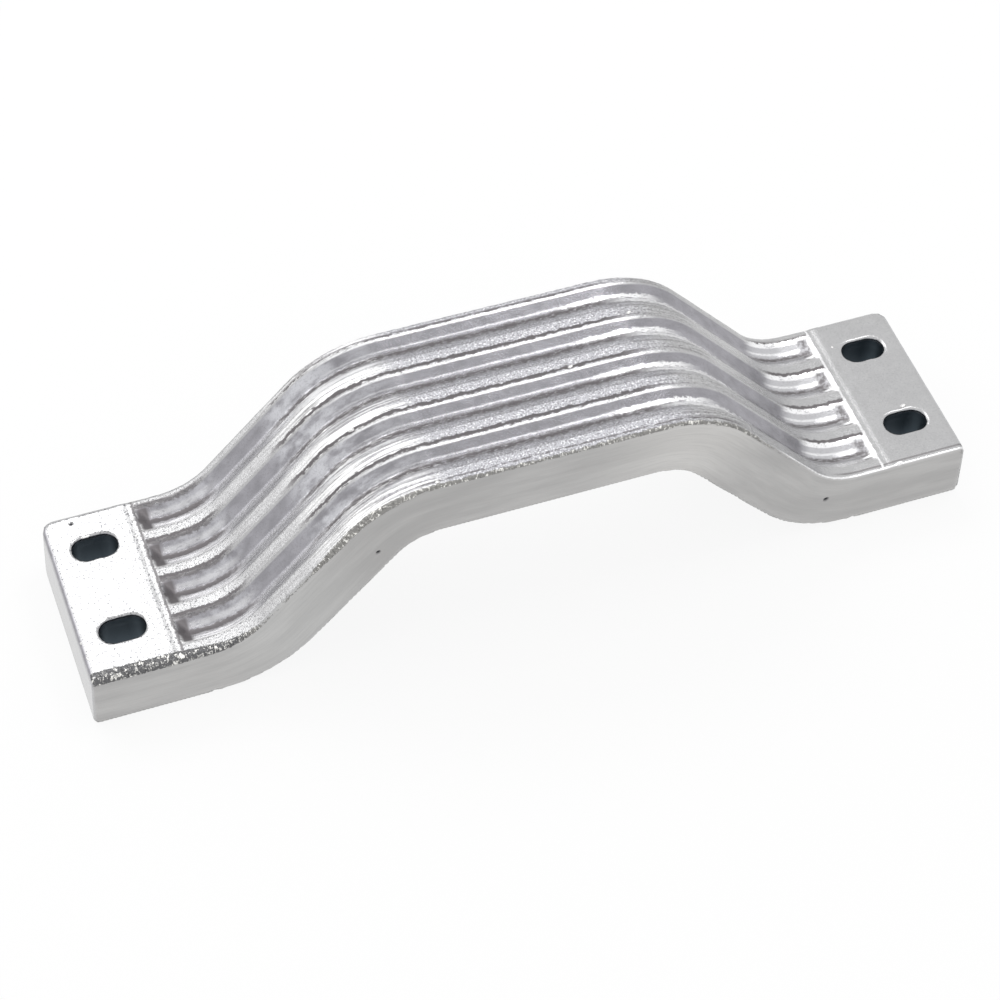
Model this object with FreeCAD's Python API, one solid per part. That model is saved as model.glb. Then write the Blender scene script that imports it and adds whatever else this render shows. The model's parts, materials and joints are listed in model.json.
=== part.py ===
import FreeCAD
import Part
import math
import os

# Sacrificial anode: one cast aluminium bar that arches between two bolting pads.
# Millimetres. X runs along the bar, Y from the ground side to the mould side, Z up.
# The origin is on the mounting plane, at the middle of the four bolting slots.

NODE = "anode_casting"

# Bar. A pad is the level stretch between a foot bend and the bar's end.
overall_length = 210.0
bar_width = 46.8
bar_thickness = 15.8
pad_length = 26.8
crown_rise = 36.8
slope_angle = 48.5
foot_bend_radius = 16.0
crown_bend_radius = 12.4

# Casting
end_draft_angle = 2.5
side_draft_angle = 0.5
mould_corner_radius = 2.8
outside_edge_radius = 1.2
underside_edge_radius = 0.6

# Ribbed field on the outside of the bar. The outer ridges fill the width beside it.
groove_count = 4
ridge_width = 3.3
ground_ridge_width = 3.8
mould_ridge_width = 2.4
groove_depth = 2.0
groove_root_radius = 2.8
groove_corner_radius = 1.3
groove_rim_radius = 1.1
groove_end_run = 3.3
groove_pad_run = 5.8

# Bolting slots, long axis along the bar
slot_end_distance = 10.0
slot_spacing_y = 24.0
slot_width = 6.6
slot_length = 10.5
slot_edge_chamfer = 0.25

# Cutting tools reach this far past the metal
reach = 3.0
# Two places closer than this are the same place
tolerance = 0.001

slope = math.radians(slope_angle)
field_width = bar_width - ground_ridge_width - mould_ridge_width
groove_width = (field_width - (groove_count - 1) * ridge_width) / groove_count
ground_y = -field_width / 2 - ground_ridge_width
mould_y = field_width / 2 + mould_ridge_width
vector = FreeCAD.Vector


def polar(centre, radius, angle):
    """Point on a bend, with the angle measured from straight up."""
    x, z = centre
    return (x + radius * math.sin(angle), z + radius * math.cos(angle))


def foot_centre():
    return (overall_length / 2 - pad_length, bar_thickness + foot_bend_radius)


def crown_centre():
    """The slope is the common tangent of the two bends, and sets how far in the crown's is."""
    radii = crown_bend_radius + bar_thickness + foot_bend_radius
    straight = (crown_rise - radii * (1 - math.cos(slope))) / math.sin(slope)
    run = radii * math.sin(slope) + straight * math.cos(slope)
    return (foot_centre()[0] - run, crown_rise - crown_bend_radius)


def line(start, end, y=0.0):
    return Part.makeLine(vector(start[0], y, start[1]), vector(end[0], y, end[1]))


def arc(start, middle, end, y=0.0):
    points = [vector(p[0], y, p[1]) for p in (start, middle, end)]
    return Part.Arc(*points).toShape()


def mirrored(point):
    return (-point[0], point[1])


def bar_line(height, end_x, y=0.0):
    """Edges of a line that keeps one height within the bar's section, left to right.

    Height 0 is the underside and bar_thickness is the outside. The line follows
    both S-bends on arcs that share the bends' centres.
    """
    crown_radius = crown_bend_radius + height
    foot_radius = foot_bend_radius + bar_thickness - height
    crown = [polar(crown_centre(), crown_radius, slope * part) for part in (0.0, 0.5, 1.0)]
    foot = [polar(foot_centre(), -foot_radius, slope * part) for part in (1.0, 0.5, 0.0)]
    end = (end_x, height)
    left_crown = [mirrored(p) for p in reversed(crown)]
    left_foot = [mirrored(p) for p in reversed(foot)]
    return [
        line(mirrored(end), left_foot[0], y),
        arc(*left_foot, y),
        line(left_foot[-1], left_crown[0], y),
        arc(*left_crown, y),
        line(left_crown[-1], crown[0], y),
        arc(*crown, y),
        line(crown[-1], foot[0], y),
        arc(*foot, y),
        line(foot[-1], end, y),
    ]


def bar_blank():
    """The bar's side view, extruded wider and longer than the mould cavity."""
    end_x = overall_length / 2 + reach
    outside_end, underside_end = (end_x, bar_thickness), (end_x, 0.0)
    edges = bar_line(bar_thickness, end_x, ground_y) + bar_line(0.0, end_x, ground_y)
    edges.append(line(outside_end, underside_end, ground_y))
    edges.append(line(mirrored(outside_end), mirrored(underside_end), ground_y))
    wire = Part.Wire(Part.__sortEdges__(edges))
    return Part.Face(wire).extrude(vector(0, bar_width + 2 * reach, 0))


def cavity_size(z):
    """How far the cavity extends towards the ends and the mould side at one height."""
    lean = bar_thickness - z
    end_x = overall_length / 2 + lean * math.tan(math.radians(end_draft_angle))
    side_y = mould_y + lean * math.tan(math.radians(side_draft_angle))
    return end_x, side_y


def mould_cavity():
    """Drafted block: the ends and the mould side lean, the ground side is square."""
    low_z, high_z = -reach, bar_thickness + crown_rise + reach
    low_x, low_y = cavity_size(low_z)
    high_x, high_y = cavity_size(high_z)
    # The wedge grows along Y and is then turned upright, which sends its Z to -Y.
    block = Part.makeWedge(
        -low_x, low_z, -low_y, -high_y, -high_x,
        low_x, high_z, -ground_y, -ground_y, high_x,
    )
    block.rotate(vector(0, 0, 0), vector(1, 0, 0), 90)
    corners = [e for e in block.Edges if e.BoundBox.ZLength > reach and e.CenterOfMass.y > 0]
    return block.makeFillet(mould_corner_radius, corners)


def is_level(edge, z):
    box = edge.BoundBox
    return abs(box.ZMin - z) < tolerance and abs(box.ZMax - z) < tolerance


def mould_side_edge(shape, z):
    """The crown's mould-side edge at one height. A fillet on it runs on along its whole chain."""
    return max((e for e in shape.Edges if is_level(e, z)), key=lambda e: e.CenterOfMass.y)


def plain_bar():
    """The bar before its grooves and slots. Its ground side keeps sharp edges."""
    bar = bar_blank().common(mould_cavity())
    bar = bar.makeFillet(outside_edge_radius, [mould_side_edge(bar, bar_thickness + crown_rise)])
    return bar.makeFillet(underside_edge_radius, [mould_side_edge(bar, crown_rise)])


def groove_section(x):
    """Closed section of one groove's cutter, across its path's left end, open upwards."""
    half = groove_width / 2
    wall = math.atan2(groove_depth, half)
    root_z = bar_thickness - groove_depth
    root_y = groove_root_radius * math.sin(wall)
    root_top = root_z + groove_root_radius * (1 / math.cos(wall) - math.cos(wall))
    root_bottom = root_z + groove_root_radius * (1 / math.cos(wall) - 1)
    top_z = bar_thickness + reach * math.tan(wall)
    left, right = vector(x, -root_y, root_top), vector(x, root_y, root_top)
    left_top, right_top = vector(x, -half - reach, top_z), vector(x, half + reach, top_z)
    return Part.Wire([
        Part.makeLine(left_top, left),
        Part.Arc(left, vector(x, 0, root_bottom), right).toShape(),
        Part.makeLine(right, right_top),
        Part.makeLine(right_top, left_top),
    ])


def groove_end_x():
    return foot_centre()[0] + groove_pad_run


def end_wall_height(x):
    """Height of the sloped wall that closes a groove, at a distance from the bar's middle."""
    return bar_thickness + (abs(x) - groove_end_x()) * groove_depth / groove_end_run


def end_wall_block(side):
    """Metal that stays at a groove's end: everything under a plane that climbs to the pad."""
    half_width = groove_width + reach
    low_z = bar_thickness - 2 * groove_depth
    out_x, in_x = groove_end_x() + reach, groove_end_x() - 2 * groove_end_run
    corners = [vector(side * x, -half_width, z) for x, z in (
        (out_x, low_z), (in_x, end_wall_height(in_x)), (out_x, end_wall_height(out_x)),
    )]
    face = Part.Face(Part.makePolygon(corners + corners[:1]))
    return face.extrude(vector(0, 2 * half_width, 0))


def end_wall_creases(cutter):
    """Edges where the trough's walls and root run into its two end walls."""
    creases = []
    for edge in cutter.Edges:
        on_wall = all(abs(end_wall_height(v.X) - v.Z) < tolerance for v in edge.Vertexes)
        if on_wall and edge.BoundBox.ZLength > tolerance:
            creases.append(edge)
    return creases


def groove_cutter():
    """One V trough that follows the bar's outside through both S-bends, with sloped ends."""
    end_x = groove_end_x() + reach
    path = Part.Wire(bar_line(bar_thickness, end_x))
    sweep = Part.BRepOffsetAPI.MakePipeShell(path)
    sweep.setBiNormalMode(vector(0, 1, 0))
    sweep.add(groove_section(-end_x))
    sweep.build()
    sweep.makeSolid()
    cutter = sweep.shape()
    for side in (-1, 1):
        cutter = cutter.cut(end_wall_block(side))
    return cutter.makeFillet(groove_corner_radius, end_wall_creases(cutter))


def groove_offsets():
    pitch = groove_width + ridge_width
    first = (groove_width - field_width) / 2
    return [first + i * pitch for i in range(groove_count)]


def groove_lips(shape):
    """The top edge of each groove's end walls. A fillet on it runs on round the groove's rim."""
    lips = []
    for edge in shape.Edges:
        at_end = all(abs(abs(v.X) - groove_end_x()) < tolerance for v in edge.Vertexes)
        if at_end and is_level(edge, bar_thickness):
            lips.append(edge)
    return lips


def slot_centres():
    x, y = overall_length / 2 - slot_end_distance, slot_spacing_y / 2
    return [(sx * x, sy * y) for sx in (-1, 1) for sy in (-1, 1)]


def slot_cutter(x, y):
    """An obround hole straight through a pad."""
    r = slot_width / 2
    half = slot_length / 2 - r
    z = -reach
    right = [vector(x + half, y - r, z), vector(x + half + r, y, z), vector(x + half, y + r, z)]
    left = [vector(x - half, y + r, z), vector(x - half - r, y, z), vector(x - half, y - r, z)]
    wire = Part.Wire([
        Part.Arc(*right).toShape(),
        Part.makeLine(right[2], left[0]),
        Part.Arc(*left).toShape(),
        Part.makeLine(left[2], right[0]),
    ])
    return Part.Face(wire).extrude(vector(0, 0, bar_thickness + 2 * reach))


def slot_edges(shape):
    """Edges round the mouths of the slots, on top and underneath."""
    found = []
    for edge in shape.Edges:
        if is_level(edge, 0.0) or is_level(edge, bar_thickness):
            middle = edge.CenterOfMass
            for x, y in slot_centres():
                if abs(middle.x - x) <= slot_length / 2 and abs(middle.y - y) <= slot_width / 2 + tolerance:
                    found.append(edge)
    return found


def build():
    casting = plain_bar()
    cutter = groove_cutter()
    for offset in groove_offsets():
        casting = casting.cut(cutter.translated(vector(0, offset, 0)))
    casting = casting.makeFillet(groove_rim_radius, groove_lips(casting))
    for x, y in slot_centres():
        casting = casting.cut(slot_cutter(x, y))
    return casting.makeChamfer(slot_edge_chamfer, slot_edges(casting))


os.makedirs("parts", exist_ok=True)
casting = build()
casting.exportStep("parts/" + NODE + ".step")
print(NODE, "solids", len(casting.Solids), "valid", casting.isValid(), "mm3", round(casting.Volume))
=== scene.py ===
import json
import math

import bpy
import numpy as np
from mathutils import Matrix, Vector

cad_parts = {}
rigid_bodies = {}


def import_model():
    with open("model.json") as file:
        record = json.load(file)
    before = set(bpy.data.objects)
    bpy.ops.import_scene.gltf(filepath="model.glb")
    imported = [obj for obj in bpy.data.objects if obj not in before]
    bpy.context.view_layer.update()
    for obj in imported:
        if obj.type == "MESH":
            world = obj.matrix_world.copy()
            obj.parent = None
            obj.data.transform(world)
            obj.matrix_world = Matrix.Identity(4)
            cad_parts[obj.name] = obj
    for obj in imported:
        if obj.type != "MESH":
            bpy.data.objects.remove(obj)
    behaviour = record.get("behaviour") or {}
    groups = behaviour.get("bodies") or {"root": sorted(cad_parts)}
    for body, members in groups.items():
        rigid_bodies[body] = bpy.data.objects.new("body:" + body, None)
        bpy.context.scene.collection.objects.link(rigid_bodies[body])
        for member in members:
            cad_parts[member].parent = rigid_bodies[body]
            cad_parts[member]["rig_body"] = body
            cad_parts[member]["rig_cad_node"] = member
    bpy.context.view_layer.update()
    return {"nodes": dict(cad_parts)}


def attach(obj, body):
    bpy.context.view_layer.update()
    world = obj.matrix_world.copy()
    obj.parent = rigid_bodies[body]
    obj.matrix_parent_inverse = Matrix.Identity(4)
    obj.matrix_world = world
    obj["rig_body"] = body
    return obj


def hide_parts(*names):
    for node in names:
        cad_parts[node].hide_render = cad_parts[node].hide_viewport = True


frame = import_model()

bl_info = {
    "name": "Sacrificial anode",
    "version": (1, 0, 0),
    "blender": (4, 5, 0),
    "location": "3D View > Sidebar > Anode",
    "description": "A cast hull anode with its skin, torn edge and flaws, on a studio floor",
    "category": "Object",
}

NODE = "anode_casting"
MM = 0.001

# The bar's own sizes, in millimetres, as the source has them
BAR_THICKNESS = 15.8
GROUND_Y, MOULD_Y = -24.1, 22.7
SLOPE = math.radians(48.5)
FOOT_CENTRE = (78.2, 31.8)
CROWN_CENTRE = (25.729, 24.4)
CROWN_BEND = 12.4
FOOT_BEND = 16.0
FIELD_START, FIELD_END = -20.3, 20.3
GROOVE_WIDTH, GROOVE_PITCH = 7.675, 10.975
GROOVE_MIDDLE = GROOVE_WIDTH / 2
GROOVE_END_X = 84.0
# Past this the pads are smooth
RIBBED_END_X = GROOVE_END_X + 3.5
SLOT_X, SLOT_Y = 95.0, 12.0
# Half the straight part of a slot
SLOT_STRAIGHT = 1.95
# Distances from the bar's middle along its middle line: the seam that the mould left across each
# pad, and a place past either end
SEAM_AT = 98.3
PAST_END = 200

# Attributes of the skin: each point's place on the bar, and a mask for each kind of skin
PLACE = "bar_place"
MASKS = ("mask_top", "mask_rough", "mask_torn", "mask_slot", "mask_end_lip", "mask_pit",
         "mask_near_wall", "mask_end_wall", "mask_field")
# Map of the skin that shows the side and the top at one scale
BAR_MAP = "bar_map"

# Torn ground edge: place along the bar, then how far it reaches down the side and in over the top
TORN = (
    (-140, 1.5, 2.6), (-118, 1.4, 2.4), (-98, 1.3, 2.0), (-86, 0.9, 1.3), (-72, 0.45, 0.4),
    (-56, 0.45, 0.4), (-48, 1.0, 0.9), (-36, 1.1, 1.2), (-26, 0.6, 0.65), (0, 0.5, 0.55),
    (26, 0.6, 0.7), (40, 0.6, 0.6), (60, 0.4, 0.3), (75, 0.25, 0.2), (140, 0.25, 0.2))
TORN_AT, TORN_DOWN, TORN_IN = zip(*TORN)

# The pads stand this much above the skin beside the grooves, and the pits go this deep, in metres
PAD_STEP, PIT_DEPTH = 0.00014, 0.0004
# Blow holes in the casting: place and radius in millimetres
PITS = (((-98.45, 20.06, 15.8), 0.45), ((-39.8, -24.1, 35.3), 0.6), ((69.8, -24.1, 10.55), 0.75))
# Slag and burrs left on the skin: place, length, width and height in millimetres, turn in degrees
SLAG = (
    ((96.5, -7.6, 15.95), 1.5, 1.1, 0.9, 20), ((-96.3, 15.55, 15.75), 2.4, 0.9, 0.5, 4),
    ((-98.2, -8.3, 15.75), 2.2, 0.9, 0.5, 35), ((-38.4, -1.2, 50.1), 1.5, 1.1, 0.8, 10),
    ((-103.9, -20.6, 15.7), 1.5, 0.7, 0.7, 80), ((-104.3, -17.4, 15.6), 1.2, 0.6, 0.6, 95),
    ((-104.6, -12.9, 15.6), 0.9, 0.6, 0.5, 85), ((-104.2, -22.8, 15.6), 1.0, 0.9, 0.8, 50),
    ((-26.0, -22.9, 52.5), 1.1, 0.8, 0.6, 0), ((12.5, -1.0, 52.6), 1.2, 0.8, 0.5, 15),
    ((31.0, 10.6, 52.0), 1.4, 0.9, 0.6, 30), ((-84.9, 16.9, 15.8), 1.2, 0.8, 0.5, 60),
    ((-85.4, 12.1, 15.8), 1.0, 0.8, 0.5, 15), ((88.2, 14.9, 15.85), 0.7, 0.5, 0.4, 0))

# Colours that the skin's layers add to those of the settings
# Painted light, as pale clouds on the far walls at the left bend
PAINTED_LIGHT_CLOUD = (0.66, 0.665, 0.7, 1)
# Painted light on the right pad's far walls
RIGHT_WALL_LIT = (0.6, 0.6, 0.62, 1)
# Painted light on the near walls
NEAR_WALL_LIT = (0.66, 0.66, 0.665, 1)
# Painted shade at the foot of the near walls
NEAR_WALL_FOOT_SHADE = (0.33, 0.325, 0.34, 1)
CROWN_SKIN = (0.46, 0.46, 0.495, 1)
# Painted glints in the sandy skin
GLINT = (0.94, 0.94, 0.95, 1)
# Painted highlights on the lit walls by the drag lines
DRAG_HIGHLIGHT = (0.97, 0.97, 0.965, 1)
# Painted highlights along walls and edges
HIGHLIGHT_LINE = (0.95, 0.95, 0.96, 1)
PAD_SPECK = (0.13, 0.13, 0.14, 1)
TORN_DARK, TORN_PALE = (0.15, 0.15, 0.155, 1), (0.3, 0.295, 0.285, 1)
# Painted glints on the torn edge's streaks
TORN_STREAK_GLINT = (0.93, 0.92, 0.88, 1)
# Painted shade at the left of the ground side and painted light at its right, with painted sheen
SIDE_LEFT_SHADED, SIDE_MIDDLE = (0.415, 0.41, 0.405, 1), (0.49, 0.49, 0.485, 1)
SIDE_RIGHT_LIT, SIDE_SHEEN = (0.6, 0.59, 0.575, 1), (0.74, 0.735, 0.72, 1)
SIDE_STROKE = (0.33, 0.33, 0.33, 1)
# Painted shade in the pits
PIT_SHADE = (0.03, 0.03, 0.035, 1)
DROP = (0.78, 0.775, 0.77, 1)
WHITE = (1, 1, 1, 1)

# Camera: place in metres, and the directions of the picture's right and down
CAMERA_PLACE = (-0.152665, -0.370948, 0.505701)
CAMERA_RIGHT = (0.93995, -0.33992, 0.03085)
CAMERA_DOWN = (-0.24643, -0.73841, -0.62771)
CAMERA_LENS = 98.90


# ------------------------------------------------------------------ settings

class AnodeCastingSettings(bpy.types.PropertyGroup):
    """Sizes and colours of the casting."""

    skin_cell: bpy.props.FloatProperty(
        name="Skin cell", description="Side of one face of the cast skin",
        default=0.00105, min=0.0006, subtype="DISTANCE", unit="LENGTH")
    sand_depth: bpy.props.FloatProperty(
        name="Cast roughness", description="How far the cast skin stands up and sinks in",
        default=0.000224, subtype="DISTANCE", unit="LENGTH")
    metal_colour: bpy.props.FloatVectorProperty(
        name="Metal", description="Colour of the bare metal",
        default=(0.5, 0.5, 0.505), size=3, subtype="COLOR", min=0, max=1)
    # Oxide in the creases, also used as painted shade in the creases, on the rims and on the end
    # walls
    oxide_and_shade_colour: bpy.props.FloatVectorProperty(
        name="Crease", description="Colour of the dark oxide in the creases",
        default=(0.17, 0.16, 0.165), size=3, subtype="COLOR", min=0, max=1)
    wall_colour: bpy.props.FloatVectorProperty(
        name="Groove wall", description="Colour of the smooth groove walls",
        default=(0.305, 0.3, 0.325), size=3, subtype="COLOR", min=0, max=1)
    # Painted shade deep in the bolting slots
    slot_shade_colour: bpy.props.FloatVectorProperty(
        name="Slot", description="Colour deep in the bolting slots",
        default=(0.1, 0.13, 0.155), size=3, subtype="COLOR", min=0, max=1)


class AnodeStageSettings(bpy.types.PropertyGroup):
    """Light and floor of the studio."""

    room_strength: bpy.props.FloatProperty(
        name="Room light", description="Strength of the even light from the room", default=0.8)
    lamp_power: bpy.props.FloatProperty(
        name="Back lamp", description="Power of the soft lamp behind the casting",
        default=5.0, subtype="POWER", unit="POWER")
    top_power: bpy.props.FloatProperty(
        name="Top lamp", description="Power of the small lamp above the casting",
        default=3.4, subtype="POWER", unit="POWER")
    side_power: bpy.props.FloatProperty(
        name="Side lamp", description="Power of the large soft lamp at the left",
        default=4.5, subtype="POWER", unit="POWER")
    floor_colour: bpy.props.FloatVectorProperty(
        name="Floor", description="Colour of the floor", default=(0.9, 0.9, 0.9),
        size=3, subtype="COLOR", min=0, max=1)


# ------------------------------------------------------------- node building

def node(tree, kind, at=(0, 0), inputs=None, **values):
    """One shader node. An input is a socket to link or a constant."""
    made = tree.nodes.new(kind)
    made.location = at
    for name, value in values.items():
        setattr(made, name, value)
    for key, value in (inputs or {}).items():
        socket = made.inputs[key]
        if isinstance(value, bpy.types.NodeSocket):
            tree.links.new(value, socket)
        else:
            socket.default_value = value
    return made


def maths(tree, operation, *values):
    inputs = dict(enumerate(values))
    return node(tree, "ShaderNodeMath", operation=operation, inputs=inputs).outputs[0]


def ramp(tree, value, low, high, to_low=0.0, to_high=1.0):
    """A soft step: to_low below low, to_high above high."""
    made = node(tree, "ShaderNodeMapRange", interpolation_type="SMOOTHSTEP", inputs={
        "Value": value, "From Min": low, "From Max": high,
        "To Min": to_low, "To Max": to_high})
    return made.outputs[0]


def speckle(tree, vector, scale, detail, rough, distortion=0.0):
    """Cloudy noise, about half on average."""
    return node(tree, "ShaderNodeTexNoise", inputs={
        "Vector": vector, "Scale": scale, "Detail": detail, "Roughness": rough,
        "Distortion": distortion}).outputs["Fac"]


def mix_colour(tree, factor, a, b):
    made = node(tree, "ShaderNodeMix", data_type="RGBA", inputs={0: factor, 6: a, 7: b})
    return made.outputs[2]


def seen_by_eye(tree):
    """One for what the camera sees, straight or in a mirror or through glass."""
    path = node(tree, "ShaderNodeLightPath").outputs
    return maths(tree, "MAXIMUM", path["Is Camera Ray"],
                 maths(tree, "MAXIMUM", path["Is Glossy Ray"], path["Is Transmission Ray"]))


def new_material(name):
    material = bpy.data.materials.new(name)
    material.use_nodes = True
    tree = material.node_tree
    tree.nodes.clear()
    output = node(tree, "ShaderNodeOutputMaterial", (900, 0))
    shader = node(tree, "ShaderNodeBsdfPrincipled", (600, 0))
    tree.links.new(shader.outputs[0], output.inputs[0])
    return material, tree, shader


def four(colour, share=1.0):
    """A colour with its alpha, as a share of its strength and at most white."""
    return (*(min(1.0, c * share) for c in colour), 1.0)


def group(name, inputs, outputs):
    """A node group with named sockets, and its input and output nodes."""
    made = bpy.data.node_groups.new(name, "ShaderNodeTree")
    for label, kind in inputs:
        made.interface.new_socket(label, in_out="INPUT", socket_type=kind)
    for label, kind in outputs:
        made.interface.new_socket(label, in_out="OUTPUT", socket_type=kind)
    return made, node(made, "NodeGroupInput", (-900, 0)), node(made, "NodeGroupOutput", (900, 0))


def grain_group():
    """Sandy grain of a cast skin: a height for bump, sharp dark specks and sharp spots for painted
    glints.
    """
    made, given, out = group(
        "cast_grain",
        (("Place", "NodeSocketVector"), ("Fineness", "NodeSocketFloat")),
        (("Height", "NodeSocketFloat"), ("Specks", "NodeSocketFloat"),
         ("Glints", "NodeSocketFloat")))
    place, fineness = given.outputs["Place"], given.outputs["Fineness"]
    fine = speckle(made, place, fineness, 5.0, 0.7)
    clots = speckle(made, place, maths(made, "MULTIPLY", fineness, 0.3), 3.0, 0.6)
    height = maths(made, "ADD", maths(made, "MULTIPLY", fine, 0.8),
                   maths(made, "MULTIPLY", clots, 0.4))
    dots = speckle(made, place, maths(made, "MULTIPLY", fineness, 0.9), 2.0, 0.6)
    made.links.new(height, out.inputs["Height"])
    made.links.new(ramp(made, dots, 0.56, 0.61), out.inputs["Specks"])
    made.links.new(ramp(made, dots, 0.44, 0.38), out.inputs["Glints"])
    return made


def use_group(tree, made, **inputs):
    return node(tree, "ShaderNodeGroup", node_tree=made, inputs=inputs).outputs


def written(tree, name, output="Fac"):
    """What an attribute of the mesh says."""
    return node(tree, "ShaderNodeAttribute", attribute_name=name).outputs[output]


class SkinPainter:
    """Paints the skin in layers, each by where it lies along, across and up from the bar, with
    painted light and shade among them.

    Places are in millimetres. A value is a socket or a number.
    """

    def __init__(self, tree, settings):
        self.tree = tree
        self.settings = settings
        self.tone, self.dark = four(settings.metal_colour), 0.0
        self.oxide_and_shade = four(settings.oxide_and_shade_colour)
        self.place = written(tree, PLACE, "Vector")
        split = node(tree, "ShaderNodeSeparateXYZ", inputs={0: self.place}).outputs
        self.along, self.across = split[0], split[1]
        self.depth = maths(tree, "SUBTRACT", BAR_THICKNESS, split[2])
        self.masks = {name: written(tree, name) for name in MASKS}
        self.top, self.rough_zone = self.masks["mask_top"], self.masks["mask_rough"]
        self.near_wall, self.end_wall = self.masks["mask_near_wall"], self.masks["mask_end_wall"]
        self.ground = self.step(self.across, GROUND_Y + 0.5, GROUND_Y + 0.2)

        self.left_pad, self.left_slope = self.span(-PAST_END, -74), self.span(-74, -50)
        self.left_bend, self.crown = self.span(-52, -26), self.span(-36, 32)
        self.right_bend, self.right_pad = self.span(28, 52), self.span(76, PAST_END)
        self.level = self.strongest(self.left_pad, self.span(-52, 28), self.right_pad)
        self.right_lip = self.times(self.masks["mask_end_lip"], self.right_pad)

        self.grain = use_group(tree, GROUPS["grain"], Place=self.place, Fineness=2.4)
        self.drag = self.noise((0.07, 1.7, 1.7), 4.0, 0.65)
        self.ragged = self.noise((0.8, 0.8, 0.8), 4.0, 0.7)
        self.frayed = self.noise((0.5, 1.6, 1.6), 4.0, 0.7)
        self.brush = self.noise((0.09, 1.0, 2.2), 5.0, 0.75, 0.4)
        self.streaks = self.noise((1.6, 1.1, 1.1), 4.0, 0.6, 0.8)
        self.wander = maths(tree, "SUBTRACT", self.ragged, 0.5)
        self.fray = maths(tree, "SUBTRACT", self.frayed, 0.5)
        # Place within one groove and ridge: near rim at 0, then crease, far rim and ridge
        self.pitch = maths(tree, "WRAP", maths(tree, "SUBTRACT", self.across, FIELD_START),
                           GROOVE_PITCH, 0.0)
        self.in_groove = self.times(self.step(self.depth, 0.12, 0.3), self.top)
        self.torn = self.times(
            self.step(self.plus(self.masks["mask_torn"], self.times(self.wander, 2.0)), 0.4, 0.6),
            self.step(self.masks["mask_torn"], 0.02, 0.1))

    def noise(self, stretch, detail, rough, distortion=0.0):
        place = node(self.tree, "ShaderNodeVectorMath", operation="MULTIPLY",
                     inputs={0: self.place, 1: stretch}).outputs[0]
        return speckle(self.tree, place, 1.0, detail, rough, distortion)

    def step(self, *values):
        return ramp(self.tree, *values)

    def times(self, *values):
        found = values[0]
        for value in values[1:]:
            found = maths(self.tree, "MULTIPLY", found, value)
        return found

    def plus(self, *values):
        found = values[0]
        for value in values[1:]:
            found = maths(self.tree, "ADD", found, value)
        return found

    def strongest(self, *values):
        found = values[0]
        for value in values[1:]:
            found = maths(self.tree, "MAXIMUM", found, value)
        return found

    def without(self, value, *others):
        for other in others:
            value = self.times(value, maths(self.tree, "SUBTRACT", 1.0, other))
        return value

    def from_line(self, value, at):
        """Distance from a line, either way."""
        return maths(self.tree, "ABSOLUTE", maths(self.tree, "SUBTRACT", value, at))

    def span(self, start, end, soft=8.0):
        """One between two places along the bar, fading out over a soft stretch."""
        half = soft / 2
        return self.times(self.step(self.along, start - half, start + half),
                          self.step(self.along, end + half, end - half))

    def band(self, centre, half, sway, soft=0.2):
        """A line along each groove, as wide as twice its half, that sways and frays."""
        away = self.from_line(self.plus(self.pitch, self.times(self.wander, sway)), centre)
        away = self.plus(away, self.times(self.fray, sway))
        edge = self.step(maths(self.tree, "SUBTRACT", away, half), soft, -soft / 2)
        return self.times(edge, self.masks["mask_field"])

    def blend(self, factor, a, b):
        return mix_colour(self.tree, factor, a, b)

    def paint(self, factor, colour):
        """Cover the tone so far."""
        self.tone = self.blend(factor, self.tone, colour)

    def lay_metal(self):
        """Bare metal, the far walls with painted light in pale clouds at the left bend, painted
        shade on the crown and painted light on the right pad, and the near walls lightened with
        painted light.
        """
        metal, wall = self.settings.metal_colour, self.settings.wall_colour
        smudges = speckle(self.tree, self.place, 0.35, 4.0, 0.6)
        clouds = self.noise((0.22, 0.4, 0.4), 4.0, 0.5)
        self.tone = self.blend(self.step(smudges, 0.3, 0.7), four(metal, 0.97), four(metal, 1.03))
        tone = self.blend(self.step(clouds, 0.15, 0.85), four(wall, 0.85), four(wall, 1.25))
        # Painted light: pale clouds on the far walls at the left bend and beside the left pad
        cloudy = self.strongest(self.left_bend, self.times(self.span(-92, -72), 0.5))
        tone = self.blend(self.times(self.step(clouds, 0.32, 0.62), cloudy, 0.85), tone, PAINTED_LIGHT_CLOUD)
        # Painted shade: the far walls darker on the crown
        tone = self.blend(self.times(self.crown, 0.45), tone, four(wall, 0.72))
        # Painted light: the far walls lighter on the right pad
        tone = self.blend(self.times(self.right_pad, 0.85), tone, RIGHT_WALL_LIT)
        tone = self.blend(self.times(self.grain["Specks"], 0.2), tone, self.oxide_and_shade)
        self.paint(self.times(self.without(self.in_groove, self.rough_zone), 0.92), tone)
        # Painted light: the near walls lighter
        self.paint(self.times(self.near_wall, 0.75), NEAR_WALL_LIT)

    def lay_sand(self):
        """Dark grain, painted glints and drag lines on the crown and the slopes, painted highlights
        on lit walls, and painted shade at the near walls' foot.
        """
        self.paint(self.times(self.rough_zone, self.crown, 0.8), CROWN_SKIN)
        self.paint(self.times(self.grain["Specks"], self.rough_zone, 0.6), self.oxide_and_shade)
        # Painted glints in the sandy skin, most on the crown
        glint_share = self.plus(0.2, self.times(self.crown, 0.5))
        self.paint(self.times(self.grain["Glints"], self.rough_zone, glint_share), GLINT)

        ridges = self.without(self.strongest(self.near_wall, self.rough_zone), self.in_groove)
        slopes = self.strongest(self.left_slope, self.left_bend, self.right_bend)
        lines = self.times(self.step(self.drag, 0.52, 0.42), slopes, 0.45)
        self.paint(self.times(lines, self.strongest(self.near_wall, ridges)), self.oxide_and_shade)
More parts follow.
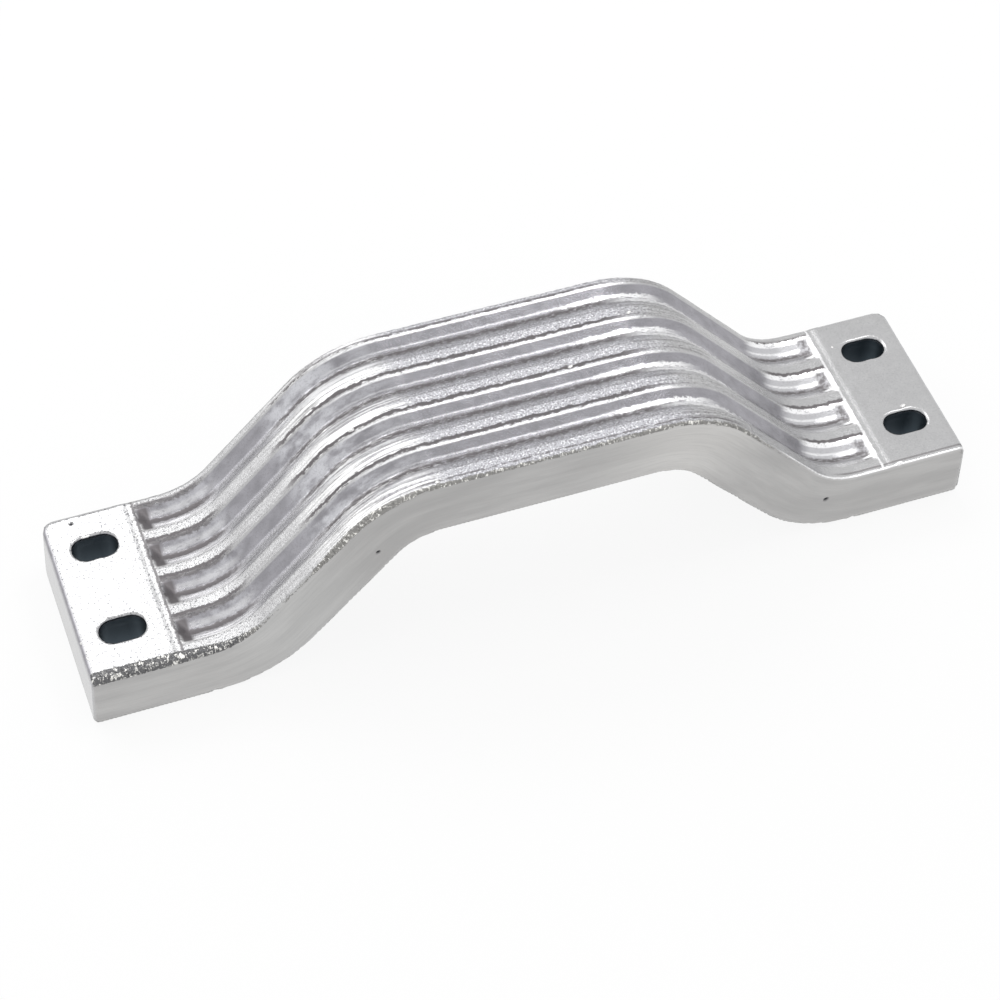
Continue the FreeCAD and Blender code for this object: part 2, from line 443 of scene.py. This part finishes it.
        # Painted highlights on the left bend and on the near walls of the pads
        lit = self.strongest(self.left_bend, self.times(self.left_pad, self.near_wall),
                             self.times(self.right_pad, self.near_wall, 0.5))
        painted_shine = self.times(lit, self.strongest(self.near_wall, self.rough_zone),
                           self.step(self.drag, 0.4, 0.55))
        self.paint(self.times(painted_shine, 0.9), DRAG_HIGHLIGHT)
        # Painted shade at the foot of the near walls on the level stretches
        flat = self.strongest(self.crown, self.left_pad, self.right_pad)
        self.paint(self.times(self.near_wall, self.step(self.depth, 0.7, 1.5), flat, 0.75),
                   NEAR_WALL_FOOT_SHADE)

    def lay_highlights(self):
        """Painted highlights: lines where a wall turns towards the lamps, the right pad's end-wall
        lips and the top edge of the ground side at the right.
        """
        lines = self.strongest(
            self.times(self.band(7.35, 0.2, 0.3), self.crown),
            self.times(self.band(4.95, 0.15, 0.7), self.crown, 0.25),
            self.times(self.band(4.7, 0.5, 1.5), self.span(18, 37, 8)),
            self.times(self.band(3.6, 0.55, 1.8), self.right_bend, 0.75),
            self.times(self.band(7.3, 0.6, 0.4), self.right_pad),
            self.times(self.band(5.2, 0.2, 0.4), self.right_pad, 0.7),
            self.times(self.band(5.3, 0.5, 0.8, 0.5), self.left_pad, 0.35))
        lines = self.times(self.without(lines, self.end_wall),
                           self.step(self.frayed, 0.34, 0.5, 0.35, 1.0))
        ground_edge = self.times(
            self.span(58, PAST_END), self.step(self.across, GROUND_Y + 0.85, GROUND_Y + 0.45),
            self.step(self.depth, 0.75, 0.35))
        self.paint(self.strongest(lines, self.times(self.right_lip, 0.7), ground_edge), HIGHLIGHT_LINE)

    def seam_line(self, at, half):
        """A line across the pad where the mould's parts met."""
        away = self.from_line(self.plus(self.along, self.times(self.wander, 1.2)), at)
        return self.times(self.step(away, half, 0.15), self.step(self.depth, 0.5, 0.2),
                          self.top, 0.8)

    def lay_oxide_and_shade(self):
        """Dark creases of oxide and painted shade; painted shade on the rims, end walls, left seam
        and a line inside the top edge; painted highlights on the right pad's lip and seam.
        """
        crease = self.strongest(
            self.band(GROOVE_MIDDLE - 0.25, 0.5, 1.5, 0.45),
            self.times(self.band(GROOVE_MIDDLE - 0.4, 0.6, 2.6, 0.6), self.crown))
        crease = self.times(crease, self.step(self.frayed, 0.36, 0.52, 0.5, 1.0), self.level,
                            self.step(self.depth, 0.8, 1.2))
        rim = self.times(self.band(GROOVE_WIDTH + 0.6, 0.42, 1.5),
                         self.plus(0.1, self.times(self.level, 0.9)))
        near_rim = self.times(self.band(0.3, 0.1, 0.6), 0.35)
        spots = self.times(self.right_pad, self.step(self.ragged, 0.36, 0.58), 0.85)
        by_left_end = self.span(-104, -76, 10)
        walls = self.strongest(
            self.times(self.without(self.end_wall, self.right_lip),
                       self.strongest(self.left_pad, spots)),
            self.times(self.band(7.6, 0.45, 1.8, 0.4), by_left_end, 0.85),
            self.times(self.band(3.5, 0.7, 1.2, 0.4), by_left_end))
        broken = self.times(self.step(self.frayed, 0.42, 0.5), self.span(-30, 40))
        seat = self.times(self.step(self.from_line(self.across, -22.55), 0.4, 0.15), self.top,
                          self.strongest(broken, self.span(84, PAST_END)), 0.75)
        # Painted shade, partly oxide in the creases
        self.dark = self.strongest(crease, rim, near_rim, walls,
                                   self.seam_line(-SEAM_AT, 0.5), seat)
        self.paint(self.dark, self.oxide_and_shade)
        # Painted highlights on the right pad's end-wall lip and on its seam
        lip_highlight = self.times(self.band(1.6, 0.35, 0.3), self.right_pad, self.end_wall)
        self.paint(self.strongest(lip_highlight, self.seam_line(SEAM_AT, 0.45)), HIGHLIGHT_LINE)

    def lay_pad_specks(self):
        specks = self.times(self.grain["Specks"], self.top,
                            self.plus(0.12, self.times(self.left_pad, 0.88)))
        specks = self.without(specks, self.in_groove, self.times(self.rough_zone, 0.6))
        self.paint(self.times(specks, 0.9), PAD_SPECK)

    def lay_torn_edge(self):
        """Dark metal with streaks standing up in it, painted with glints."""
        tear = self.blend(self.span(-80, 60), TORN_DARK, TORN_PALE)
        tear = self.blend(self.step(self.streaks, 0.52, 0.62), tear, TORN_STREAK_GLINT)
        self.paint(self.torn, tear)

    def lay_ground_side(self):
        # Painted light: the ground side darker at the left and lighter at the right, with painted
        # sheen in clouds; the brush strokes are the metal's own
        sheen = self.noise((0.03, 0.15, 0.2), 4.0, 0.55)
        side = self.blend(self.span(-84, -54, 20), SIDE_LEFT_SHADED, SIDE_MIDDLE)
        side = self.blend(self.span(20, 46, 24), side, SIDE_RIGHT_LIT)
        side = self.blend(self.times(self.step(sheen, 0.35, 0.7), 0.3), side, SIDE_SHEEN)
        self.paint(self.times(self.without(self.ground, self.torn), 0.85), side)
        strokes = self.times(self.step(self.brush, 0.4, 0.7), self.ground, 0.25)
        self.paint(self.without(strokes, self.torn), SIDE_STROKE)

    def lay_all(self):
        self.lay_metal()
        self.lay_sand()
        self.lay_highlights()
        self.lay_oxide_and_shade()
        self.lay_pad_specks()
        self.lay_torn_edge()
        self.lay_ground_side()
        # Painted shade deep in the bolting slots
        self.paint(self.masks["mask_slot"], four(self.settings.slot_shade_colour))
        # Painted shade in the pits
        self.paint(self.masks["mask_pit"], PIT_SHADE)
        return self.tone

    def relief(self):
        """Bump from the grain, the brush strokes and the torn streaks."""
        scratch = self.noise((0.03, 1.0, 5.0), 3.0, 0.6)
        sandy = self.plus(self.times(self.top, 0.35), self.times(self.rough_zone, 1.5))
        brushed = self.plus(self.brush, self.times(scratch, 0.5))
        height = self.plus(self.times(self.grain["Height"], sandy),
                           self.times(brushed, self.ground, 0.25),
                           self.times(self.streaks, self.torn, 3.0))
        return node(self.tree, "ShaderNodeBump", inputs={
            "Strength": 0.8, "Distance": 0.00016, "Height": height}).outputs[0]

    def roughness(self):
        dull = self.strongest(self.dark, self.end_wall, self.masks["mask_slot"])
        return self.plus(0.2, self.times(self.ground, 0.1), self.times(self.rough_zone, 0.16),
                         self.times(dull, 0.3))


def cast_material(settings):
    """Cast aluminium: brushed ground side, sandy skin, smooth groove walls, dark creases of oxide
    and painted shade, and painted highlights and glints.
    """
    material, tree, shader = new_material("cast_aluminium_skin")
    painter = SkinPainter(tree, settings)
    tree.links.new(painter.lay_all(), shader.inputs["Base Color"])
    tree.links.new(painter.roughness(), shader.inputs["Roughness"])
    tree.links.new(painter.relief(), shader.inputs["Normal"])
    shader.inputs["Metallic"].default_value = 1.0
    return material


def slag_material(settings):
    """Bright, rough drops of the same metal."""
    material, tree, shader = new_material("slag_drops")
    grain = use_group(tree, GROUPS["grain"], Place=written(tree, PLACE, "Vector"), Fineness=2.6)
    tone = mix_colour(tree, ramp(tree, grain["Height"], 0.64, 0.8), DROP,
                      four(settings.oxide_and_shade_colour))
    bump = node(tree, "ShaderNodeBump", inputs={
        "Strength": 0.8, "Distance": 0.0002, "Height": grain["Height"]})
    tree.links.new(tone, shader.inputs["Base Color"])
    tree.links.new(ramp(tree, grain["Specks"], 0.0, 1.0, 0.25, 0.5), shader.inputs["Roughness"])
    tree.links.new(bump.outputs[0], shader.inputs["Normal"])
    shader.inputs["Metallic"].default_value = 1.0
    return material


# ------------------------------------------------------- places on the bar

def along_bar(points):
    """Distance along the bar, across it and up from its underside, for points in millimetres."""
    x, y, z = points[:, 0], points[:, 1], points[:, 2]
    away = np.abs(x)
    middle = BAR_THICKNESS / 2
    cos, sin = math.cos(SLOPE), math.sin(SLOPE)
    outer_bend = FOOT_BEND + BAR_THICKNESS
    start = (CROWN_CENTRE[0] + CROWN_BEND * sin, CROWN_CENTRE[1] + CROWN_BEND * cos)
    end = (FOOT_CENTRE[0] - outer_bend * sin, FOOT_CENTRE[1] - outer_bend * cos)
    straight = math.hypot(end[0] - start[0], end[1] - start[1])
    slope_from = CROWN_CENTRE[0] + (CROWN_BEND + middle) * SLOPE
    foot_from = slope_from + straight
    pad_from = foot_from + (FOOT_BEND + middle) * SLOPE

    # On the slope, and then on each bend and level stretch in turn
    run = (away - start[0]) * cos - (z - start[1]) * sin
    along = slope_from + run
    height = (away - start[0]) * sin + (z - start[1]) * cos

    crown_bend = run < 0
    out, up = away - CROWN_CENTRE[0], z - CROWN_CENTRE[1]
    angle = np.arctan2(np.maximum(out, 0), np.maximum(up, 0.01))
    along = np.where(crown_bend, CROWN_CENTRE[0] + (CROWN_BEND + middle) * angle, along)
    height = np.where(crown_bend, np.hypot(out, up) - CROWN_BEND, height)
    crown = crown_bend & (out <= 0)
    along = np.where(crown, away, along)
    height = np.where(crown, up - CROWN_BEND, height)

    foot_bend = run > straight
    out, up = FOOT_CENTRE[0] - away, FOOT_CENTRE[1] - z
    angle = np.arctan2(np.maximum(out, 0), np.maximum(up, 0.01))
    along = np.where(foot_bend, pad_from - (FOOT_BEND + middle) * angle, along)
    height = np.where(foot_bend, outer_bend - np.hypot(out, up), height)
    pad = foot_bend & (out <= 0)
    along = np.where(pad, pad_from + away - FOOT_CENTRE[0], along)
    height = np.where(pad, z, height)
    return np.stack([along * np.sign(x), y, height], axis=1)


def smooth_step(value, low, high):
    t = np.clip((value - low) / (high - low), 0, 1)
    return t * t * (3 - 2 * t)


def slot_distance(points):
    """Distance from the nearest slot's middle line, in millimetres."""
    run = np.maximum(np.abs(np.abs(points[:, 0]) - SLOT_X) - SLOT_STRAIGHT, 0)
    return np.hypot(run, np.abs(points[:, 1]) - SLOT_Y)


def torn_reach(along):
    """How far the torn edge reaches down the side and in over the top."""
    return np.interp(along, TORN_AT, TORN_DOWN), np.interp(along, TORN_AT, TORN_IN)


def zones_of(places, points):
    """The masks over the skin, from each point's place on the bar. Lengths in millimetres."""
    along, across, height = places.T
    depth = BAR_THICKNESS - height
    x = np.abs(points[:, 0])
    off_ground = smooth_step(across, GROUND_Y + 0.1, GROUND_Y + 0.6)
    top = (off_ground * smooth_step(depth, 3.2, 2.4)
           * smooth_step(across, MOULD_Y + 0.1, MOULD_Y - 0.3))
    pitch = (across - FIELD_START) % GROOVE_PITCH
    in_field = smooth_step(across, FIELD_START - 0.9, FIELD_START - 0.3)
    before_end = smooth_step(x, GROOVE_END_X + 0.3, GROOVE_END_X - 0.3)

    # The crown is the sandiest, then the left pad and the slopes. The far walls stay smooth.
    far_wall = smooth_step(pitch, 3.6, 4.2) * smooth_step(pitch, 8.1, 7.4)
    crown = smooth_step(np.abs(along), 47, 36)
    left = smooth_step(along, -60, -80)
    slopes = 1 - smooth_step(np.abs(along), 62, 78)
    share = np.clip(crown + 0.3 * slopes + 0.35 * left + 0.08, 0, 1)
    rough = (top * (1 - far_wall * before_end * in_field) * share
             * smooth_step(x, GROOVE_END_X + 0.8, GROOVE_END_X - 0.4))
    near_wall = (smooth_step(pitch, 3.2, 2.6) * smooth_step(pitch, -0.1, 0.2)
                 * before_end * in_field * top)

    down, inward = torn_reach(along)
    inward = inward + GROUND_Y
    torn = smooth_step(depth, down + 0.5, down - 0.5) * (1 - off_ground)
    over = smooth_step(across, inward + 0.4, inward - 0.4) * smooth_step(depth, 0.9, 0.5)
    torn = np.maximum(torn, over) * smooth_step(down, 0.2, 0.7)

    pit = np.zeros(len(x))
    for spot, size in PITS:
        away = np.linalg.norm(points - np.array(spot), axis=1)
        pit = np.maximum(pit, smooth_step(away, size, size * 0.6))
    slot = smooth_step(slot_distance(points), 3.75, 3.45) * smooth_step(depth, 0.35, 0.9)
    end_wall = smooth_step(x, 80.5, 81.3) * before_end * smooth_step(depth, 0.1, 0.4) * top
    end_lip = smooth_step(x, 82.8, 83.6) * before_end * smooth_step(depth, 0.02, 0.1) * top
    field = top * before_end * in_field * smooth_step(across, FIELD_END + 0.9, FIELD_END + 0.3)
    return dict(zip(MASKS, (top, rough, torn, slot, end_lip, pit, near_wall, end_wall, field)))


# ------------------------------------------------------------- mesh helpers

def vertices_of(obj):
    found = np.zeros(len(obj.data.vertices) * 3, np.float32)
    obj.data.vertices.foreach_get("co", found)
    return found.reshape(-1, 3)


def write_place(obj, places):
    """Give each point its place on the bar, for the materials."""
    attribute = obj.data.attributes.new(PLACE, "FLOAT_VECTOR", "POINT")
    attribute.data.foreach_set("vector", places.astype(np.float32).ravel())


def write_mask(obj, name, values):
    attribute = obj.data.attributes.new(name, "FLOAT", "POINT")
    attribute.data.foreach_set("value", np.clip(values, 0, 1).astype(np.float32))


def weigh(obj, name, weights, parts=20):
    """A vertex group with a weight per vertex, rounded to one of so many parts."""
    made = obj.vertex_groups.new(name=name)
    steps = np.round(np.clip(weights, 0, 1) * parts).astype(int)
    for step in range(1, parts + 1):
        chosen = np.nonzero(steps == step)[0].tolist()
        if chosen:
            made.add(chosen, step / parts, "REPLACE")


def apply_all(obj):
    bpy.context.view_layer.objects.active = obj
    for name in [m.name for m in obj.modifiers]:
        bpy.ops.object.modifier_apply(modifier=name)


def only(obj):
    bpy.ops.object.select_all(action="DESELECT")
    obj.select_set(True)
    bpy.context.view_layer.objects.active = obj


def lift(obj, name, zone, height, direction="NORMAL"):
    """Stand a zone up by one height, or sink it in."""
    modifier = obj.modifiers.new(name, "DISPLACE")
    modifier.direction = direction
    modifier.strength = height
    modifier.mid_level = 0.0
    modifier.vertex_group = zone
    return modifier


def displace(obj, name, zone, size, depth, noise_depth=2):
    """Stand a zone up and down by a cloud texture of one size."""
    texture = bpy.data.textures.new(name, "CLOUDS")
    texture.noise_scale = size
    texture.noise_depth = noise_depth
    modifier = lift(obj, name, zone, depth)
    modifier.texture = texture
    modifier.texture_coords = "LOCAL"
    modifier.mid_level = 0.5
    return modifier


def refine(obj, chosen):
    """Split the chosen faces once, as a maker would before carving them."""
    only(obj)
    bpy.ops.object.mode_set(mode="EDIT")
    bpy.ops.mesh.select_mode(type="FACE")
    bpy.ops.mesh.select_all(action="DESELECT")
    bpy.ops.object.mode_set(mode="OBJECT")
    obj.data.polygons.foreach_set("select", chosen)
    bpy.ops.object.mode_set(mode="EDIT")
    bpy.ops.mesh.subdivide(number_cuts=1)
    bpy.ops.object.mode_set(mode="OBJECT")


def face_centres(obj):
    found = np.zeros(len(obj.data.polygons) * 3, np.float32)
    obj.data.polygons.foreach_get("center", found)
    return found.reshape(-1, 3)


def bar_centres(obj):
    """Where the faces' centres lie on the bar, in millimetres."""
    return along_bar(face_centres(obj) / MM)


def by_torn_edge(places):
    """Which of these places the torn edge takes in, with a little round it."""
    down, inward = torn_reach(places[:, 0])
    return (BAR_THICKNESS - places[:, 2] < 0.6 + down) & (places[:, 1] < GROUND_Y + 0.4 + inward)


def snap_to(obj, target):
    snap = obj.modifiers.new("snap", "SHRINKWRAP")
    snap.target = target
    snap.wrap_method = "NEAREST_SURFACEPOINT"
    apply_all(obj)


# ----------------------------------------------------------------- operators

class ANODE_OT_casting(bpy.types.Operator):
    """Make the cast skin over the whole casting"""

    bl_idname = "anode.casting"
    bl_label = "Cast skin"

    def execute(self, context):
        settings = context.scene.anode_casting
        cad = frame["nodes"][NODE]
        skin = self.copy_solid(cad)
        remesh = skin.modifiers.new("skin", "REMESH")
        remesh.mode = "VOXEL"
        remesh.voxel_size = settings.skin_cell
        remesh.use_smooth_shade = True
        snap_to(skin, cad)
        self.refine_zones(skin)
        snap_to(skin, cad)
        bpy.ops.object.shade_smooth()

        points = vertices_of(skin) / MM
        places = along_bar(points)
        zones = zones_of(places, points)
        self.write_zones(skin, places, zones)
        self.round_edges(skin, places, points, zones)
        self.add_flaws(skin, places, points, settings.sand_depth)
        apply_all(skin)

        skin.data.materials.append(cast_material(settings))
        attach(skin, "root")
        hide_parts(NODE)
        return {"FINISHED"}

    @staticmethod
    def copy_solid(cad):
        """A welded copy of the solid's mesh, without its marks."""
        only(cad)
        bpy.ops.object.duplicate()
        skin = bpy.context.active_object
        skin.name = "cast_skin"
        skin.parent = None
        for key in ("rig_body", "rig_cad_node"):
            if key in skin:
                del skin[key]
        skin.data.materials.clear()
        bpy.ops.object.mode_set(mode="EDIT")
        bpy.ops.mesh.select_all(action="SELECT")
        bpy.ops.mesh.remove_doubles(threshold=0.000001)
        bpy.ops.object.mode_set(mode="OBJECT")
        if skin.data.has_custom_normals:
            bpy.ops.mesh.customdata_custom_splitnormals_clear()
        return skin

    @staticmethod
    def refine_zones(skin):
        """Finer faces on the ribbed top, along the ground side's edges, and by slots and pits."""
        places = bar_centres(skin)
        on_top = (BAR_THICKNESS - places[:, 2] < 2.4) & (places[:, 1] > GROUND_Y - 1)
        refine(skin, on_top & (np.abs(face_centres(skin)[:, 0]) < RIBBED_END_X * MM))
        on_pad = np.abs(face_centres(skin)[:, 0]) > RIBBED_END_X * MM
        refine(skin, by_torn_edge(bar_centres(skin)) & on_pad)
        refine(skin, by_torn_edge(bar_centres(skin)))
        places = bar_centres(skin)
        refine(skin, (places[:, 2] < 0.9) & (places[:, 1] < GROUND_Y + 0.9))
        refine(skin, slot_distance(face_centres(skin) / MM) < 4.2)
        for spot, _ in PITS:
            for near in (2.0, 1.0):
                away = np.linalg.norm(face_centres(skin) / MM - np.array(spot), axis=1)
                refine(skin, away < near)

    @staticmethod
    def write_zones(skin, places, zones):
        """The masks that the material reads, the zones that modifiers use, and the bar's map."""
        write_place(skin, places)
        for name, values in zones.items():
            write_mask(skin, name, values)
        for zone, mask in (("skin_top", "mask_top"), ("skin_rough", "mask_rough"),
                           ("edge_torn", "mask_torn"), ("pits", "mask_pit")):
            weigh(skin, zone, zones[mask])
        bar_map = skin.data.uv_layers.new(name=BAR_MAP)
        loops = np.zeros(len(skin.data.loops), np.int32)
        skin.data.loops.foreach_get("vertex_index", loops)
        spread = np.stack([places[:, 0] * 0.8, (places[:, 2] - places[:, 1]) * 0.5], axis=1)
        bar_map.data.foreach_set("uv", spread[loops].astype(np.float32).ravel())

    @staticmethod
    def round_edges(skin, places, points, zones):
        """Soften the grooves' ends and the ground side's edges."""
        along, across, height = places.T
        x = np.abs(points[:, 0])
        ends = smooth_step(x, 79.0, 80.0) * smooth_step(x, 85.6, 84.8) * zones["mask_top"]
        edge = (smooth_step(across, GROUND_Y + 1.6, GROUND_Y + 1.0)
                * smooth_step(BAR_THICKNESS - height, 1.6, 1.0) * smooth_step(along, -140, -60))
        under = (across < GROUND_Y + 0.9) & (height < 0.9)
        for name, zone, rounds in (
                ("groove_ends", ends, 7), ("near_edge", edge, 10), ("under_edge", under, 4)):
            weigh(skin, name, zone)
            soft = skin.modifiers.new(name, "SMOOTH")
            soft.factor = 0.5
            soft.iterations = rounds
            soft.vertex_group = name

    @staticmethod
    def add_flaws(skin, places, points, sand_depth):
        """Pits, a step across each pad, waves and sand in the skin, and the torn edge."""
        on_pad = smooth_step(np.abs(points[:, 0]), 85.1, 86.4)
        weigh(skin, "pad_step", on_pad * smooth_step(places[:, 2], 15.3, 15.6))
        lift(skin, "pits", "pits", -PIT_DEPTH)
        lift(skin, "pad_step", "pad_step", PAD_STEP, direction="Z")
        displace(skin, "waves", "skin_top", 0.005, 0.0001)
        displace(skin, "sand", "skin_rough", 0.0008, sand_depth, noise_depth=3)
        tear = displace(skin, "tear", "edge_torn", 0.5, 0.0011, noise_depth=3)
        tear.texture_coords = "UV"
        tear.uv_layer = BAR_MAP
        tear.mid_level = 0.4


class ANODE_OT_slag(bpy.types.Operator):
    """Add the drops of slag and the burrs that the caster left on the skin"""

    bl_idname = "anode.slag"
    bl_label = "Slag and burrs"

    def execute(self, context):
        drops = [self.drop(i, *values) for i, values in enumerate(SLAG)]
        bpy.ops.object.select_all(action="DESELECT")
        for drop in drops:
            drop.select_set(True)
        context.view_layer.objects.active = drops[0]
        bpy.ops.object.join()
        slag = context.active_object
        slag.name = "slag_and_burrs"
        write_place(slag, along_bar(vertices_of(slag) / MM))
        slag.data.materials.append(slag_material(context.scene.anode_casting))
        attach(slag, "root")
        return {"FINISHED"}

    @staticmethod
    def drop(number, place, length, width, height, turn):
        """One lump of metal, half sunk into the skin."""
        bpy.ops.object.select_all(action="DESELECT")
        bpy.ops.mesh.primitive_ico_sphere_add(
            subdivisions=3, radius=0.5 * MM, location=[v * MM for v in place],
            rotation=(0, 0, math.radians(turn)), scale=(length, width, height))
        drop = bpy.context.active_object
        bpy.ops.object.transform_apply(location=True, rotation=True, scale=True)
        weigh(drop, "all", np.ones(len(drop.data.vertices)))
        displace(drop, f"lump_{number}", "all", 0.0007, 0.0003)
        apply_all(drop)
        bpy.ops.object.shade_smooth()
        return drop


class ANODE_OT_stage(bpy.types.Operator):
    """Set up the floor, the room, the lamps and the camera"""

    bl_idname = "anode.stage"
    bl_label = "Studio"

    def execute(self, context):
        settings = context.scene.anode_stage
        self.floor(settings.floor_colour)
        self.room(settings.room_strength)
        self.lamp("back_lamp", azimuth=-12, elevation=52, distance=1.6, size=(0.95, 0.6),
                  power=settings.lamp_power)
        self.lamp("top_lamp", azimuth=82, elevation=66, distance=1.6, size=(0.7, 0.36),
                  power=settings.top_power)
        self.lamp("side_lamp", azimuth=-50, elevation=24, distance=1.7, size=(1.0, 1.3),
                  power=settings.side_power)
        self.camera()
        context.scene.view_settings.view_transform = "Standard"
        return {"FINISHED"}

    @staticmethod
    def floor(colour):
        bpy.ops.object.select_all(action="DESELECT")
        bpy.ops.mesh.primitive_plane_add(size=12, location=(0, 0, 0))
        floor = bpy.context.active_object
        floor.name = "studio_floor"
        material, tree, shader = new_material("studio_floor")
        shader.inputs["Base Color"].default_value = four(colour)
        shader.inputs["Roughness"].default_value = 0.9
        shader.inputs["Specular IOR Level"].default_value = 0.1
        white = node(tree, "ShaderNodeEmission", inputs={"Color": WHITE, "Strength": 1.0})
        blend = node(tree, "ShaderNodeMixShader", inputs={
            0: maths(tree, "MULTIPLY", seen_by_eye(tree), 0.88),
            1: shader.outputs[0], 2: white.outputs[0]})
        output = next(n for n in tree.nodes if n.type == "OUTPUT_MATERIAL")
        tree.links.new(blend.outputs[0], output.inputs[0])
        floor.data.materials.append(material)

    @staticmethod
    def room(strength):
        """White where it is seen, and dimmer where it lights the casting."""
        world = bpy.data.worlds.new("studio_room")
        bpy.context.scene.world = world
        world.use_nodes = True
        tree = world.node_tree
        tree.nodes.clear()
        light = maths(tree, "ADD", strength,
                      maths(tree, "MULTIPLY", seen_by_eye(tree), 1.0 - strength))
        sky = node(tree, "ShaderNodeBackground", inputs={"Color": WHITE, "Strength": light})
        output = node(tree, "ShaderNodeOutputWorld")
        tree.links.new(sky.outputs[0], output.inputs[0])

    @staticmethod
    def lamp(name, azimuth, elevation, distance, size, power):
        """A soft lamp that faces the casting. Azimuth runs from +Y towards +X."""
        data = bpy.data.lights.new(name, "AREA")
        data.shape = "RECTANGLE"
        data.size, data.size_y = size
        data.energy = power
        lamp = bpy.data.objects.new(name, data)
        bpy.context.scene.collection.objects.link(lamp)
        turn, rise = math.radians(azimuth), math.radians(elevation)
        out = Vector((math.sin(turn) * math.cos(rise), math.cos(turn) * math.cos(rise),
                      math.sin(rise)))
        lamp.location = out * distance + Vector((0, 0, 0.03))
        lamp.rotation_mode = "QUATERNION"
        lamp.rotation_quaternion = out.to_track_quat("Z", "Y")

    @staticmethod
    def camera():
        data = bpy.data.cameras.new("studio_camera")
        camera = bpy.data.objects.new("studio_camera", data)
        bpy.context.scene.collection.objects.link(camera)
        data.sensor_width = 36
        data.lens = CAMERA_LENS
        data.clip_start, data.clip_end = 0.01, 50
        right, down = Vector(CAMERA_RIGHT), Vector(CAMERA_DOWN)
        turn = Matrix((right, -down, -right.cross(down))).transposed()
        camera.matrix_world = Matrix.Translation(CAMERA_PLACE) @ turn.to_4x4()
        bpy.context.scene.camera = camera


class ANODE_PT_panel(bpy.types.Panel):
    """Sizes, colours and steps of the anode"""

    bl_label = "Sacrificial anode"
    bl_idname = "ANODE_PT_panel"
    bl_space_type = "VIEW_3D"
    bl_region_type = "UI"
    bl_category = "Anode"

    def draw(self, context):
        for settings in (context.scene.anode_casting, context.scene.anode_stage):
            for name in settings.bl_rna.properties.keys():
                if name not in ("rna_type", "name"):
                    self.layout.prop(settings, name)
        for step in STEPS:
            self.layout.operator(step.bl_idname)


STEPS = (ANODE_OT_casting, ANODE_OT_slag, ANODE_OT_stage)
CLASSES = (AnodeCastingSettings, AnodeStageSettings, *STEPS, ANODE_PT_panel)


def register():
    for item in CLASSES:
        bpy.utils.register_class(item)
    bpy.types.Scene.anode_casting = bpy.props.PointerProperty(type=AnodeCastingSettings)
    bpy.types.Scene.anode_stage = bpy.props.PointerProperty(type=AnodeStageSettings)


def unregister():
    del bpy.types.Scene.anode_stage
    del bpy.types.Scene.anode_casting
    for item in reversed(CLASSES):
        bpy.utils.unregister_class(item)


GROUPS = {}


def main():
    register()
    GROUPS["grain"] = grain_group()
    bpy.ops.anode.stage()
    bpy.ops.anode.casting()
    bpy.ops.anode.slag()


if __name__ == "__main__":
    main()
